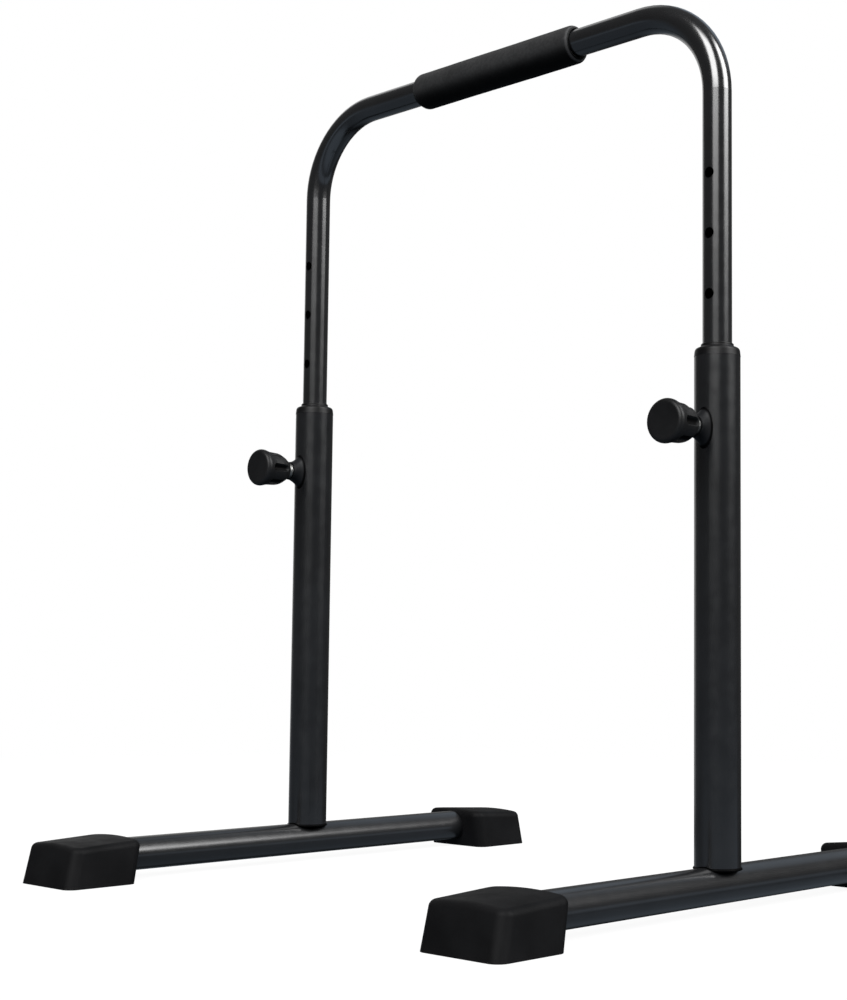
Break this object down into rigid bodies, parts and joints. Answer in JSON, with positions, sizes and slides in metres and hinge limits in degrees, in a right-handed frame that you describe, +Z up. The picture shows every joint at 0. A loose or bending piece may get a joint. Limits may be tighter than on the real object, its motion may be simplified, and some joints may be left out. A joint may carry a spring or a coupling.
{
  "type": "kip bar",
  "caption": "Free-standing inverted U training bar with foam grip, telescoping in two sleeved legs on capped floor tubes, locked by pull pins.",
  "frame": {"origin": "on the floor, midway between the two legs and midway along the feet", "axes": "+Z up; +X towards the right leg; -Y is the front, where the pull-pin knobs are"},
  "size_m": [0.766, 0.774, 1.016],
  "materials": {
    "gloss_black_paint": "gloss black powder coat",
    "satin_black_paint": "satin black powder coat",
    "weld_paint": "rough black paint on welds and the welded boss",
    "black_plastic": "moulded black plastic",
    "knob_plastic": "moulded black plastic, fine texture",
    "cap_rubber": "matte black moulded rubber",
    "foam": "closed-cell black foam",
    "zinc_steel": "bright zinc-plated steel",
    "spring_steel": "spring steel"
  },
  "bodies": {
    "left_leg": {"left_foot_tube": "gloss_black_paint", "left_post": "satin_black_paint", "left_post_weld": "weld_paint", "left_bushing": "black_plastic", "left_pin_boss": "weld_paint", "left_plunger_barrel": "zinc_steel", "left_plunger_spring": "spring_steel", "left_front_cap": "cap_rubber", "left_rear_cap": "cap_rubber"},
    "bar": {"top_bar": "gloss_black_paint", "foam_grip": "foam", "left_bar_glide": "black_plastic", "right_bar_glide": "black_plastic"},
    "right_leg": {"right_foot_tube": "gloss_black_paint", "right_post": "satin_black_paint", "right_post_weld": "weld_paint", "right_bushing": "black_plastic", "right_pin_boss": "weld_paint", "right_plunger_barrel": "zinc_steel", "right_plunger_spring": "spring_steel", "right_front_cap": "cap_rubber", "right_rear_cap": "cap_rubber"},
    "left_pull_pin": {"left_lock_pin": "zinc_steel", "left_pull_knob": "knob_plastic"},
    "right_pull_pin": {"right_lock_pin": "zinc_steel", "right_pull_knob": "knob_plastic"}
  },
  "joints": [
    {"name": "bar_height", "type": "slide", "parent": "left_leg", "child": "bar", "axis": [0, 0, 1], "range_m": [-0.2808, 0]},
    {"name": "right_leg_telescope", "type": "slide", "parent": "bar", "child": "right_leg", "axis": [0, 0, 1], "range_m": [0, 0.2808]},
    {"name": "left_pin_pull", "type": "slide", "parent": "left_leg", "child": "left_pull_pin", "axis": [0, -1, 0], "range_m": [-0.007, 0.004], "stiffness_N_per_m": 300, "springref_m": -0.02, "deforming": ["left_plunger_spring"]},
    {"name": "right_pin_pull", "type": "slide", "parent": "right_leg", "child": "right_pull_pin", "axis": [0, -1, 0], "range_m": [-0.007, 0.004], "stiffness_N_per_m": 300, "springref_m": -0.02, "deforming": ["right_plunger_spring"]}
  ],
  "couplings": [
    {"joint": "right_leg_telescope", "follows": "bar_height", "ratio": -1}
  ]
}
